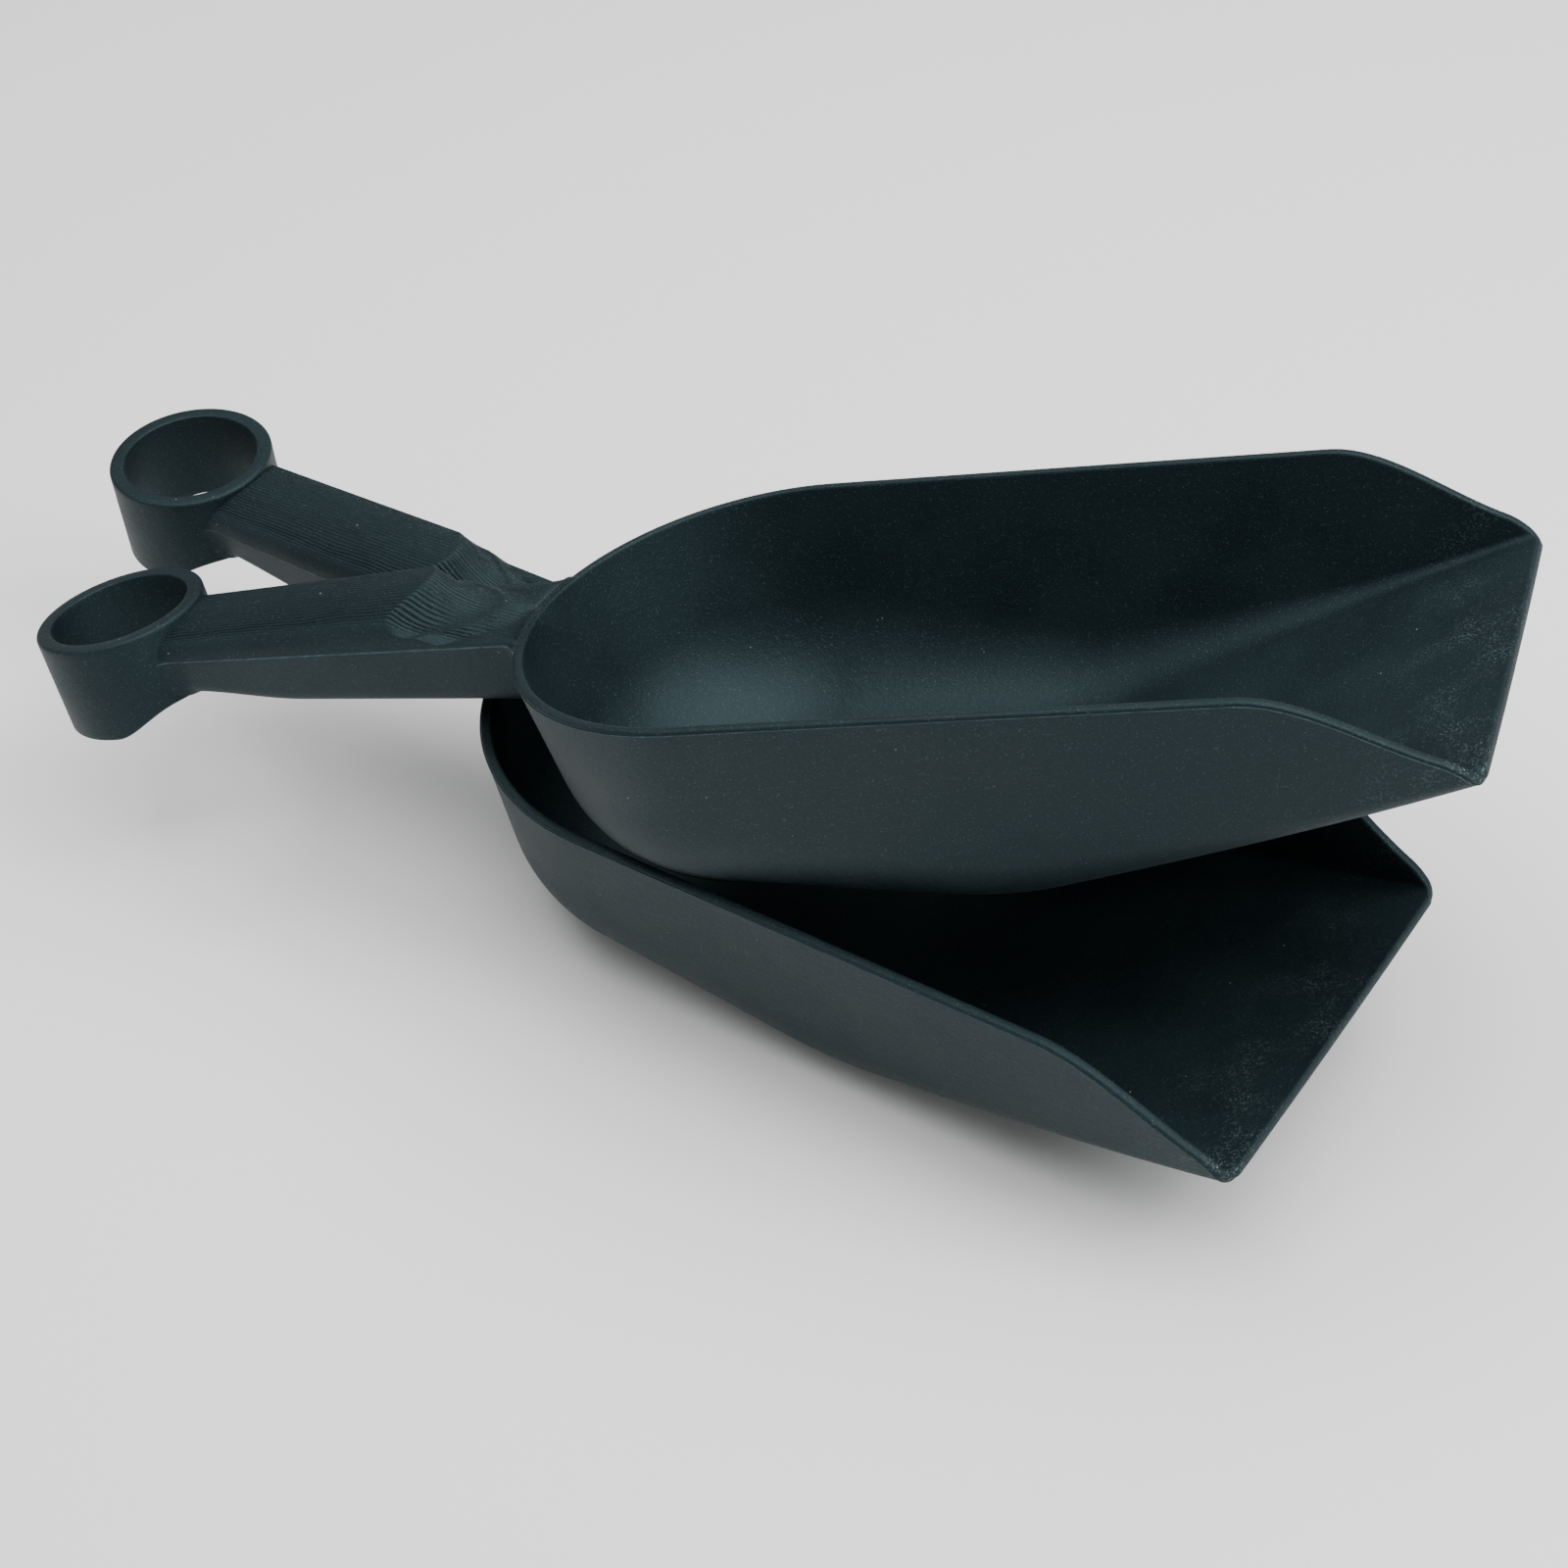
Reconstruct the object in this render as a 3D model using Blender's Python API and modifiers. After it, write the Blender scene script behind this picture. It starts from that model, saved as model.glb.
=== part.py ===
"""A pair of leaf grabber hands: two identical one-piece plastic scoops, one lying on the other.

Each scoop is one moulding: a bowl with a wide lip, a handle with a thumb rest and an open end collar.
A scoop is modelled once in its own frame, where X runs from the collar to the lip, Z is up,
the collar's axis is x = 0 and y = 0, and the bowl's rim lies in the plane z = 0.
Metres throughout.
"""

import math

import bmesh
import bpy
from mathutils import Vector

OBJECT_NAME = "leaf_grabber_hands"

# Bowl
WALL = 0.0030
RIM_BACK_X = 0.1327
BACK_LENGTH = 0.0648
SIDE_HALF_WIDTH = 0.0646
SIDE_TAPER = 0.0201
SIDE_TAPER_AT_X = 0.2500
WALL_DRAFT = 0.134
BOWL_DEPTH = 0.0660
LIP_X = 0.3907
LIP_DEPTH = 0.0279
LIP_BOW = 0.0005
LIP_CORNER = 0.0100
FLOOR_SLOPE = 0.313
FLOOR_BEND_LENGTH = 0.0300
BACK_CORNER_RADIUS = 0.0530
CORNER_TIGHTENS_AT_X = 0.0930
CORNER_LIMIT = 0.95
LIP_CORNER_RADIUS = 0.0050
SHOULDER_X = 0.3382
SHOULDER_END_X = 0.3951
SHOULDER_DROP = 0.0238

# Handle
HANDLE_HALF_WIDTH = 0.0156
HANDLE_FLARE = 0.0091
HANDLE_CREST = 0.0079
HANDLE_CREST_SLOPE = 0.0650
CROWN_ROUNDNESS = 0.7
HANDLE_KEEL = 0.0170
HANDLE_KEEL_SLOPE = 0.0480
KEEL_RISE = 0.0028
KEEL_RISE_LENGTH = 0.0340
KEEL_HALF_WIDTH = 0.0118
KEEL_ROUNDING = 0.0050
THUMB_START_X = 0.1060
THUMB_LENGTH = 0.0170
THUMB_REST_HEIGHT = 0.0034
THUMB_BOW = 78.0
RIM_TOP = 0.0006

# Collar
COLLAR_RADIUS = 0.0250
BORE_RADIUS = 0.0203
COLLAR_TOP = 0.0092
COLLAR_EDGE = 0.0009
COLLAR_BOTTOM = -0.0203
COLLAR_CUT_START_X = 0.0020
COLLAR_CUT_END_X = 0.0205
COLLAR_CUT_END_Z = -0.0142
COLLAR_OVERRUN = 0.0020
CUTTER_REACH = 0.0325

# Mesh density
BACK_COLUMNS = 10
SIDE_COLUMNS = 17
WALL_ROWS = 3
CORNER_ROWS = 6
FLOOR_ROWS = 3
HANDLE_STATIONS = 24
STATION_BUNCHING = 1.4
HANDLE_SIDE_POINTS = 3
HANDLE_CORNER_POINTS = 3
COLLAR_STEPS = 48
COLLAR_CUT_STEPS = 18
HALVINGS = 40
WELD = 0.00002

# How the two scoops lie: the lower one flat on its bowl, the upper one across it, resting on its rim.
# The offset and the rotation, in degrees, take the lower scoop's frame to the upper scoop's.
UPPER_OFFSET = (0.0364, -0.0658, 0.0007)
UPPER_ROTATION = (-9.2, -13.7, 18.3)

PLASTIC_COLOR = (0.024, 0.036, 0.041, 1.0)
PLASTIC_ROUGHNESS = 0.55


def smooth_step(value):
    """0 below 0, 1 above 1, and an S curve between."""
    value = min(max(value, 0.0), 1.0)
    return value * value * (3.0 - 2.0 * value)


def clear_scene():
    for obj in list(bpy.data.objects):
        bpy.data.objects.remove(obj, do_unlink=True)


def new_collection(name):
    collection = bpy.data.collections.new(name)
    bpy.context.scene.collection.children.link(collection)
    return collection


def plastic_material(name):
    material = bpy.data.materials.new(name)
    material.use_nodes = True
    shader = material.node_tree.nodes["Principled BSDF"]
    shader.inputs["Base Color"].default_value = PLASTIC_COLOR
    shader.inputs["Roughness"].default_value = PLASTIC_ROUGHNESS
    shader.inputs["Metallic"].default_value = 0.0
    return material


# ---- bowl ----


def rim_half_width(x):
    """Half the width over the rim: nearly parallel sides that close in a little towards the lip."""
    return SIDE_HALF_WIDTH - SIDE_TAPER * (x - SIDE_TAPER_AT_X)


def floor_depth(x):
    """Depth of the outside floor below the rim: level at the back, then curving into a straight ramp."""
    bend_x = LIP_X - (BOWL_DEPTH - LIP_DEPTH) / FLOOR_SLOPE
    start = bend_x - FLOOR_BEND_LENGTH / 2
    along = max(x - start, 0.0)
    if along < FLOOR_BEND_LENGTH:
        return BOWL_DEPTH - FLOOR_SLOPE * along**2 / (2 * FLOOR_BEND_LENGTH)
    return LIP_DEPTH + FLOOR_SLOPE * (LIP_X - x)


def corner_radius(x):
    """Radius between wall and floor: generous at the back, tight at the lip."""
    share = smooth_step((x - CORNER_TIGHTENS_AT_X) / (LIP_X - CORNER_TIGHTENS_AT_X))
    return BACK_CORNER_RADIUS + (LIP_CORNER_RADIUS - BACK_CORNER_RADIUS) * share


def rim_drop(x):
    """How far the rim's edge falls below its plane: an S curve from the shoulder to the lip."""
    return SHOULDER_DROP * smooth_step((x - SHOULDER_X) / (SHOULDER_END_X - SHOULDER_X))


class Section:
    """Half of a cross-section of the bowl: down a drafted wall, round the corner and in to the middle."""

    def __init__(self, half_width, depth, radius):
        self.half_width = half_width
        self.depth = depth
        lean = math.atan(WALL_DRAFT)
        self.turn = math.pi / 2 - lean
        self.wall = Vector((-math.sin(lean), -math.cos(lean)))
        corner = Vector((half_width - WALL_DRAFT * depth, -depth))
        self.radius = min(radius, CORNER_LIMIT * depth / math.tan(self.turn / 2))
        tangent = self.radius * math.tan(self.turn / 2)
        self.wall_length = depth / math.cos(lean) - tangent
        self.arc_length = self.radius * self.turn
        self.floor_length = corner.x - tangent
        self.length = self.wall_length + self.arc_length + self.floor_length

    def point(self, distance):
        """(across, height) at this distance from the rim plane."""
        start = Vector((self.half_width, 0.0))
        if distance <= self.wall_length:
            return start + self.wall * distance
        along = distance - self.wall_length
        if along <= self.arc_length:
            angle = along / self.radius
            inward = Vector((self.wall.y, -self.wall.x))
            centre = start + self.wall * self.wall_length + inward * self.radius
            return centre + self.radius * (self.wall * math.sin(angle) - inward * math.cos(angle))
        return Vector((self.floor_length - (along - self.arc_length), -self.depth))

    def distance_at(self, drop):
        """Distance along the section at which it has fallen this far."""
        low = 0.0
        high = self.wall_length + self.arc_length
        for _ in range(HALVINGS):
            middle = (low + high) / 2
            if -self.point(middle).y < drop:
                low = middle
            else:
                high = middle
        return low

    def rows(self, start):
        """Distances from start to the middle: steps down the wall, round the corner and over the floor."""
        arc_start = max(start, self.wall_length)
        arc_end = max(start, self.wall_length + self.arc_length)
        marks = [start, arc_start, arc_end, self.length]
        distances = [start]
        for low, high, steps in zip(marks, marks[1:], (WALL_ROWS, CORNER_ROWS, FLOOR_ROWS)):
            distances += [low + (high - low) * (step + 1) / steps for step in range(steps)]
        return distances


def back_column(angle):
    """Points down the rounded back, on a half plane at this angle from the straight back."""
    centre_x = RIM_BACK_X + BACK_LENGTH
    half_width = rim_half_width(centre_x)
    section = Section(half_width, floor_depth(centre_x), corner_radius(centre_x))
    stretch = BACK_LENGTH / half_width
    column = []
    for distance in section.rows(0.0):
        across, height = section.point(distance)
        x = centre_x - stretch * across * math.cos(angle)
        column.append(Vector((x, -across * math.sin(angle), height)))
    return column


def side_column(x):
    """Points down one side of the bowl at this station, from the rim's edge to the middle of the floor."""
    section = Section(rim_half_width(x), floor_depth(x), corner_radius(x))
    start = section.distance_at(rim_drop(x))
    into_corner = min(max(0.0, x - (LIP_X - LIP_CORNER)), LIP_CORNER)
    start += LIP_CORNER - math.sqrt(LIP_CORNER**2 - into_corner**2)
    bow_share = smooth_step((x - SHOULDER_X) / (LIP_X - SHOULDER_X))
    column = []
    for distance in section.rows(start):
        across, height = section.point(distance)
        ahead = LIP_BOW * bow_share * (1.0 - (across / section.half_width) ** 2)
        column.append(Vector((x + ahead, -across, height + FLOOR_SLOPE * ahead)))
    return column


def bowl_columns():
    columns = []
    for step in range(BACK_COLUMNS):
        columns.append(back_column(math.pi / 2 * step / BACK_COLUMNS))
    first = RIM_BACK_X + BACK_LENGTH
    for step in range(SIDE_COLUMNS + 1):
        share = step / SIDE_COLUMNS
        x = first + (LIP_X - first) * (1.0 - (1.0 - share) ** 2)
        columns.append(side_column(x))
    return columns


def mesh_object(name, mesh, collection):
    obj = bpy.data.objects.new(name, mesh)
    collection.objects.link(obj)
    return obj


def helper(obj):
    obj.hide_render = True
    obj.display_type = "WIRE"
    return obj


def bowl_half(collection):
    """The outside of the bowl's near half, as an open surface."""
    shape = bmesh.new()
    columns = [[shape.verts.new(point) for point in column] for column in bowl_columns()]
    for left, right in zip(columns, columns[1:]):
        for row in range(len(left) - 1):
            shape.faces.new((left[row], left[row + 1], right[row + 1], right[row]))
    bmesh.ops.remove_doubles(shape, verts=shape.verts, dist=WELD)
    mesh = bpy.data.meshes.new("bowl_blank")
    shape.to_mesh(mesh)
    shape.free()
    return helper(mesh_object("bowl_blank", mesh, collection))


def add_bowl(collection):
    """The whole bowl: the half mirrored, and given its wall on the inside."""
    bowl = bowl_half(collection)
    mirror = bowl.modifiers.new("Mirror", "MIRROR")
    mirror.use_axis = (False, True, False)
    mirror.merge_threshold = WELD
    shell = bowl.modifiers.new("Wall", "SOLIDIFY")
    shell.thickness = WALL
    shell.offset = -1.0
    shell.use_even_offset = True
    return bowl


# ---- handle ----


def handle_half_width(x):
    return HANDLE_HALF_WIDTH + HANDLE_FLARE * (x - COLLAR_RADIUS)


def handle_crest(x):
    """Height of the grip's crown: it climbs from the collar's top to the thumb rest."""
    return HANDLE_CREST + HANDLE_CREST_SLOPE * (x - COLLAR_RADIUS)


def keel_depth(x):
    """Depth of the underside below the parting plane; it rises to meet the collar's lower edge."""
    falling = HANDLE_KEEL + HANDLE_KEEL_SLOPE * (x - COLLAR_RADIUS)
    return falling - KEEL_RISE * (1.0 - smooth_step((x - COLLAR_RADIUS) / KEEL_RISE_LENGTH))


def thumb_rest(x, y):
    """Height of the hollow for the thumb, which cuts the grip's crown off short of the bowl."""
    along = x + THUMB_BOW * y * y
    hollow_end = THUMB_START_X + THUMB_LENGTH
    if along < hollow_end:
        steepness = (handle_crest(THUMB_START_X) - THUMB_REST_HEIGHT) / THUMB_LENGTH**2
        return THUMB_REST_HEIGHT + steepness * (hollow_end - along) ** 2
    share = smooth_step((along - hollow_end) / (RIM_BACK_X - hollow_end))
    return THUMB_REST_HEIGHT + (RIM_TOP - THUMB_REST_HEIGHT) * share


def collar_middle(y):
    """X of the middle of the collar's wall."""
    radius = (COLLAR_RADIUS + BORE_RADIUS) / 2
    return math.sqrt(radius * radius - y * y)


def back_middle(y, z):
    """X of the middle of the bowl's back wall."""
    centre_x = RIM_BACK_X + BACK_LENGTH
    half_width = rim_half_width(centre_x)
    across = half_width - WALL_DRAFT * max(-z, 0.0)
    stretch = BACK_LENGTH / half_width
    return centre_x - stretch * math.sqrt(across * across - y * y) + WALL / 2


def place_along(share, y, z):
    """X at this share of the way from the collar to the bowl."""
    start = collar_middle(y)
    return start + share * (back_middle(y, z) - start)


def grip_point(share, angle):
    """A point of the grip's rounded upper side; angle runs from the near edge over the crown."""
    nominal_x = place_along(share, 0.0, 0.0)
    y = -handle_half_width(nominal_x) * math.cos(angle)
    x = place_along(share, y, 0.0)
    crown = handle_crest(nominal_x) * max(math.sin(angle), 0.0) ** CROWN_ROUNDNESS
    return Vector((x, y, min(crown, thumb_rest(x, y))))


def keel_outline(x):
    """(across, height) of the lower side at this station: drafted wall, rounded corner, flat underside."""
    edge = Vector((handle_half_width(x), 0.0))
    corner = Vector((KEEL_HALF_WIDTH, -keel_depth(x)))
    wall = (corner - edge).normalized()
    arc_start = corner - wall * KEEL_ROUNDING
    arc_end = corner - Vector((KEEL_ROUNDING, 0.0))
    points = [edge.lerp(arc_start, i / HANDLE_SIDE_POINTS) for i in range(HANDLE_SIDE_POINTS)]
    for i in range(HANDLE_CORNER_POINTS + 1):
        share = i / HANDLE_CORNER_POINTS
        points.append(arc_start.lerp(corner, share).lerp(corner.lerp(arc_end, share), share))
    return points


def handle_ring(share):
    """(upper, lower) rows of points round the handle, both from the near edge to the far edge."""
    side = keel_outline(place_along(share, 0.0, 0.0))
    lower = [(-across, height) for across, height in side]
    lower += [(across, height) for across, height in reversed(side)]
    count = len(lower) - 1
    upper = [grip_point(share, math.pi * i / count) for i in range(count + 1)]
    lower = [Vector((place_along(share, y, z), y, z)) for y, z in lower]
    lower[0] = upper[0]
    lower[-1] = upper[-1]
    return upper, lower


def add_handle(collection):
    """The handle as a closed loft that ends inside the collar's wall and inside the bowl's back wall."""
    shape = bmesh.new()
    rings = []
    for station in range(HANDLE_STATIONS + 1):
        share = 1.0 - (1.0 - station / HANDLE_STATIONS) ** STATION_BUNCHING
        upper, lower = handle_ring(share)
        top = [shape.verts.new(point) for point in upper]
        bottom = [top[0]] + [shape.verts.new(point) for point in lower[1:-1]] + [top[-1]]
        rings.append((top, bottom))
    count = len(rings[0][0]) - 1
    for (top_a, bottom_a), (top_b, bottom_b) in zip(rings, rings[1:]):
        for i in range(count):
            shape.faces.new((top_a[i], top_b[i], top_b[i + 1], top_a[i + 1]))
            shape.faces.new((bottom_a[i + 1], bottom_b[i + 1], bottom_b[i], bottom_a[i]))
    for top, bottom in (rings[0], rings[-1]):
        for i in range(count):
            corners = [top[i], top[i + 1], bottom[i + 1], bottom[i]]
            shape.faces.new(list(dict.fromkeys(corners)))
    bmesh.ops.recalc_face_normals(shape, faces=shape.faces)
    mesh = bpy.data.meshes.new("handle_blank")
    shape.to_mesh(mesh)
    shape.free()
    return helper(mesh_object("handle_blank", mesh, collection))


# ---- collar ----


def collar_profile():
    """The collar's wall, from the top down its outside and back up its bore."""
    top = COLLAR_TOP
    edge = COLLAR_EDGE
    return [
        (COLLAR_RADIUS - edge, top),
        (COLLAR_RADIUS, top - edge),
        (COLLAR_RADIUS, COLLAR_BOTTOM - COLLAR_OVERRUN),
        (BORE_RADIUS, COLLAR_BOTTOM - COLLAR_OVERRUN),
        (BORE_RADIUS, top - edge),
        (BORE_RADIUS + edge, top),
    ]


def collar_cut_height(x):
    """The collar's lower edge seen from the side: level round the outer end, then swept up to the handle."""
    share = smooth_step((x - COLLAR_CUT_START_X) / (COLLAR_CUT_END_X - COLLAR_CUT_START_X))
    return COLLAR_BOTTOM + (COLLAR_CUT_END_Z - COLLAR_BOTTOM) * share


def add_collar_cutter(collection):
    """A block below the collar's lower edge."""
    span = COLLAR_CUT_END_X - COLLAR_CUT_START_X
    outline = [(-CUTTER_REACH, 2 * COLLAR_BOTTOM), (-CUTTER_REACH, COLLAR_BOTTOM)]
    for step in range(COLLAR_CUT_STEPS + 1):
        x = COLLAR_CUT_START_X + span * step / COLLAR_CUT_STEPS
        outline.append((x, collar_cut_height(x)))
    outline += [(CUTTER_REACH, COLLAR_CUT_END_Z), (CUTTER_REACH, 2 * COLLAR_BOTTOM)]
    curve = bpy.data.curves.new("collar_cut_outline", "CURVE")
    curve.dimensions = "2D"
    curve.fill_mode = "BOTH"
    curve.extrude = CUTTER_REACH
    spline = curve.splines.new("POLY")
    spline.points.add(len(outline) - 1)
    for point, (x, z) in zip(spline.points, outline):
        point.co = (x, z, 0.0, 1.0)
    spline.use_cyclic_u = True
    outline_object = mesh_object("collar_cut_outline", curve, collection)
    outline_object.rotation_euler = (math.pi / 2, 0.0, 0.0)
    cutter = as_mesh(outline_object, "collar_cutter", collection)
    return helper(cutter)


def as_mesh(source, name, collection):
    """The evaluated object as a mesh object with its caps welded; the source is removed."""
    bpy.context.view_layer.update()
    graph = bpy.context.evaluated_depsgraph_get()
    mesh = bpy.data.meshes.new_from_object(source.evaluated_get(graph))
    mesh.name = name
    shape = bmesh.new()
    shape.from_mesh(mesh)
    bmesh.ops.remove_doubles(shape, verts=shape.verts, dist=WELD)
    bmesh.ops.recalc_face_normals(shape, faces=shape.faces)
    shape.to_mesh(mesh)
    shape.free()
    obj = mesh_object(name, mesh, collection)
    obj.matrix_world = source.matrix_world
    bpy.data.objects.remove(source, do_unlink=True)
    return obj


def add_boolean(obj, other, operation):
    modifier = obj.modifiers.new(other.name, "BOOLEAN")
    modifier.operation = operation
    modifier.solver = "EXACT"
    modifier.object = other


def add_collar(collection):
    """The turned collar, cut away below towards the handle."""
    profile = collar_profile()
    edges = [(i, (i + 1) % len(profile)) for i in range(len(profile))]
    mesh = bpy.data.meshes.new("collar_blank")
    mesh.from_pydata([(radius, 0.0, z) for radius, z in profile], edges, [])
    collar = helper(mesh_object("collar_blank", mesh, collection))
    turn = collar.modifiers.new("Turn", "SCREW")
    turn.steps = COLLAR_STEPS
    turn.render_steps = COLLAR_STEPS
    turn.use_merge_vertices = True
    turn.merge_threshold = WELD
    add_boolean(collar, add_collar_cutter(collection), "DIFFERENCE")
    return collar


# ---- the pair ----


def scoop_mesh(collection):
    """One scoop as a single moulding, in its own frame."""
    bowl = add_bowl(collection)
    add_boolean(bowl, add_handle(collection), "UNION")
    add_boolean(bowl, add_collar(collection), "UNION")
    pattern = as_mesh(bowl, "scoop_pattern", collection)
    helper(pattern)
    return pattern.data


def add_scoop(name, mesh, location, rotation, collection):
    scoop = mesh_object(name, mesh.copy(), collection)
    scoop.data.name = name
    scoop.location = location
    scoop.rotation_euler = [math.radians(angle) for angle in rotation]
    scoop.data.materials.clear()
    scoop.data.materials.append(plastic_material(name + "_plastic"))
    return scoop


def centre_over_origin(scoops):
    """Moves the pair sideways until its box stands over the origin."""
    bpy.context.view_layer.update()
    corners = [scoop.matrix_world @ vertex.co for scoop in scoops for vertex in scoop.data.vertices]
    for axis in (0, 1):
        values = [corner[axis] for corner in corners]
        middle = (min(values) + max(values)) / 2
        for scoop in scoops:
            scoop.location[axis] -= middle


def main():
    clear_scene()
    cutters = new_collection("cutters")
    pair = new_collection(OBJECT_NAME)
    mesh = scoop_mesh(cutters)
    lower_location = Vector((0.0, 0.0, BOWL_DEPTH))
    lower = add_scoop("lower_scoop", mesh, lower_location, (0.0, 0.0, 0.0), pair)
    upper_location = lower_location + Vector(UPPER_OFFSET)
    upper = add_scoop("upper_scoop", mesh, upper_location, UPPER_ROTATION, pair)
    centre_over_origin([lower, upper])


main()
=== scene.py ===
"""Looks for a pair of leaf grabber hands: two identical one-piece plastic scoops, one lying on the other.

A scoop is modelled in its own frame, where X runs from the collar to the lip, Z is up, the collar's
axis is x = 0 and y = 0, and the bowl's rim lies in the plane z = 0. Metres throughout.
"""

import math

import bmesh
import bpy
from mathutils import Euler, Matrix, Vector, noise

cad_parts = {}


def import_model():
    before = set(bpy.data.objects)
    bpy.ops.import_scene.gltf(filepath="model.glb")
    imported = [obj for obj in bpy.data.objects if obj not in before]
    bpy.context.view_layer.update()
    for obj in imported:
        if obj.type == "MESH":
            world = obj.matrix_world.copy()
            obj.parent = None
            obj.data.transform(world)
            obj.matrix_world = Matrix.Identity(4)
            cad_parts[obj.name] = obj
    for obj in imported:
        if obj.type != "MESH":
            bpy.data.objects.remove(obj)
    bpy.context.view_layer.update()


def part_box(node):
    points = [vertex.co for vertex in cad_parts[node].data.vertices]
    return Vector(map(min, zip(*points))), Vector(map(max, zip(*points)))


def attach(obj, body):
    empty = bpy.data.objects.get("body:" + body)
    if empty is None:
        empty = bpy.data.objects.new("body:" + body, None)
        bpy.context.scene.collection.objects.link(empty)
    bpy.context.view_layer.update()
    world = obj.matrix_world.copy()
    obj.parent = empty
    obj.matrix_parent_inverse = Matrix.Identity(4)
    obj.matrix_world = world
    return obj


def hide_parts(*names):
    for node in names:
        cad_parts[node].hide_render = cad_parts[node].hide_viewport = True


MM = 0.001

# Bowl
WALL = 0.0030
RIM_BACK_X = 0.1327
BACK_LENGTH = 0.0648
SIDE_HALF_WIDTH = 0.0646
SIDE_TAPER = 0.0201
SIDE_TAPER_AT_X = 0.2500
WALL_DRAFT = 0.134
BOWL_DEPTH = 0.0660
LIP_X = 0.3907
LIP_DEPTH = 0.0279
LIP_BOW = 0.0005
LIP_CORNER = 0.0100
FLOOR_SLOPE = 0.313
FLOOR_BEND_LENGTH = 0.0300
BACK_CORNER_RADIUS = 0.0530
CORNER_TIGHTENS_AT_X = 0.0930
CORNER_LIMIT = 0.95
LIP_CORNER_RADIUS = 0.0050
SHOULDER_X = 0.3382
SHOULDER_END_X = 0.3951
SHOULDER_DROP = 0.0238
RIM_INSET = 0.0016

# Handle
PARTING_Z = -0.00095
HANDLE_HALF_WIDTH = 0.0156
HANDLE_FLARE = 0.0091
HANDLE_CREST = 0.0079
HANDLE_CREST_SLOPE = 0.0650
CROWN_ROUNDNESS = 0.7
HANDLE_KEEL = 0.0170
HANDLE_KEEL_SLOPE = 0.0480
KEEL_RISE = 0.0028
KEEL_RISE_LENGTH = 0.0340
KEEL_HALF_WIDTH = 0.0118
KEEL_ROUNDING = 0.0050
THUMB_START_X = 0.1060
THUMB_LENGTH = 0.0170
THUMB_REST_HEIGHT = 0.0034
THUMB_BOW = 78.0
THUMB_EDGE_BLEND = 0.0009
RIM_TOP = 0.0010
BOWL_FILLET = 0.0042
COLLAR_FILLET = 0.0026
SKIRT = 0.0018
GRIP_ARC = 0.0134
GROOVE_DEPTH = 0.00028
GROOVE_PITCH = 0.00104
GROOVE_LAST = 0.93
GROOVE_FADE = 0.16

# The handle ends in the middle of the bowl's back wall. Above REACH_START_Z it goes on across the
# rim, and ends REACH_SHORT before the wall's inner side
REACH_START_Z = -0.0005
REACH_BLEND = 0.0008
REACH_SHORT = 0.00035

# Collar
COLLAR_RADIUS = 0.0250
COLLAR_TRIM = 0.00006
BORE_RADIUS = 0.0203
COLLAR_TOP = 0.0092
COLLAR_EDGE = 0.0010
BORE_EDGE = 0.0006
COLLAR_LOWER_EDGE = 0.0009
COLLAR_BOTTOM = -0.0203
COLLAR_CUT_START_X = 0.0020
COLLAR_CUT_END_X = 0.0205
COLLAR_CUT_END_Z = -0.0142
COLLAR_LINE_MARGIN = 0.3 * MM

# Mesh density
BACK_COLUMNS = 36
SIDE_COLUMNS = 78
SIDE_BUNCHING = 1.8
WALL_ROWS = 16
CORNER_ROWS = 20
FLOOR_ROWS = 9
HANDLE_STATIONS = 150
HANDLE_END_STATIONS = 22
HANDLE_END_SHARE = 0.955
GRIP_POINTS = 220
KEEL_POINTS = 13
COLLAR_STEPS = 144
COLLAR_WALL_ROWS = 10
COLLAR_UPPER_ROWS = 5
ROUND_STEPS = 4
HARD_EDGE_DEGREES = 42
HALVINGS = 40
WELD = 0.000005

# Colours
PLASTIC_DARK = (0.0038, 0.0080, 0.0096, 1)
PLASTIC_LIGHT = (0.0054, 0.0108, 0.0127, 1)
# Painted shade: the darker colour mixed into the grip's grooves
GROOVE_SHADE_COLOR = (0.0016, 0.0036, 0.0044, 1)
LINE_COLOR = (0.045, 0.100, 0.100, 1)
SCUFF_COLOR = (0.20, 0.26, 0.26, 1)
# Painted glints: the pale colour of the fine specks of light on the stipple
GLINT_COLOR = (0.085, 0.130, 0.130, 1)
DUST_COLOR = (0.26, 0.31, 0.31, 1)
SHEEN_TINT = (0.62, 0.92, 1.0, 1)
FLOOR_COLOR = (0.84, 0.84, 0.84, 1)

# Wear shows from SCUFF_START_X and is fullest at SCUFF_FULL_X, by the lip
SCUFF_START_X = 0.356
SCUFF_FULL_X = 0.390

# Surroundings
FLOOR_HALF_SIZE = 6.0
WORLD_STRENGTH = 0.26
CAMERA_PLACE = (0.3723, -0.4465, 0.5732)
CAMERA_RIGHT = (0.8196, 0.5688, -0.0688)
CAMERA_BACK = (0.4525, -0.5690, 0.6866)
CAMERA_LENS = 63.59
SENSOR_WIDTH = 36.0

# How the upper scoop lies in the lower scoop's frame: offset, then rotation in degrees
UPPER_OFFSET = (0.0364, -0.0658, 0.0007)
UPPER_ROTATION = (-9.2, -13.7, 18.3)

# The rim's edge, from the outside over the top, in millimetres:
# inward across the wall, outward past the inset line, line mark
RIM_PROFILE = (
    (0.00, 0.10, 0.0),
    (-0.08, 0.24, 0.6),
    (-0.13, 0.34, 1.0),
    (-0.06, 0.44, 0.6),
    (0.20, 0.50, 0.0),
    (0.24, 0.76, 0.0),
    (0.36, 1.00, 0.0),
    (0.62, 1.20, 0.0),
    (1.00, 1.29, 0.0),
    (1.50, 1.30, 0.0),
    (2.10, 1.27, 0.0),
    (2.52, 1.17, 0.1),
    (2.80, 0.97, 0.2),
    (2.95, 0.68, 0.1),
    (3.00, 0.34, 0.0),
)

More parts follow.
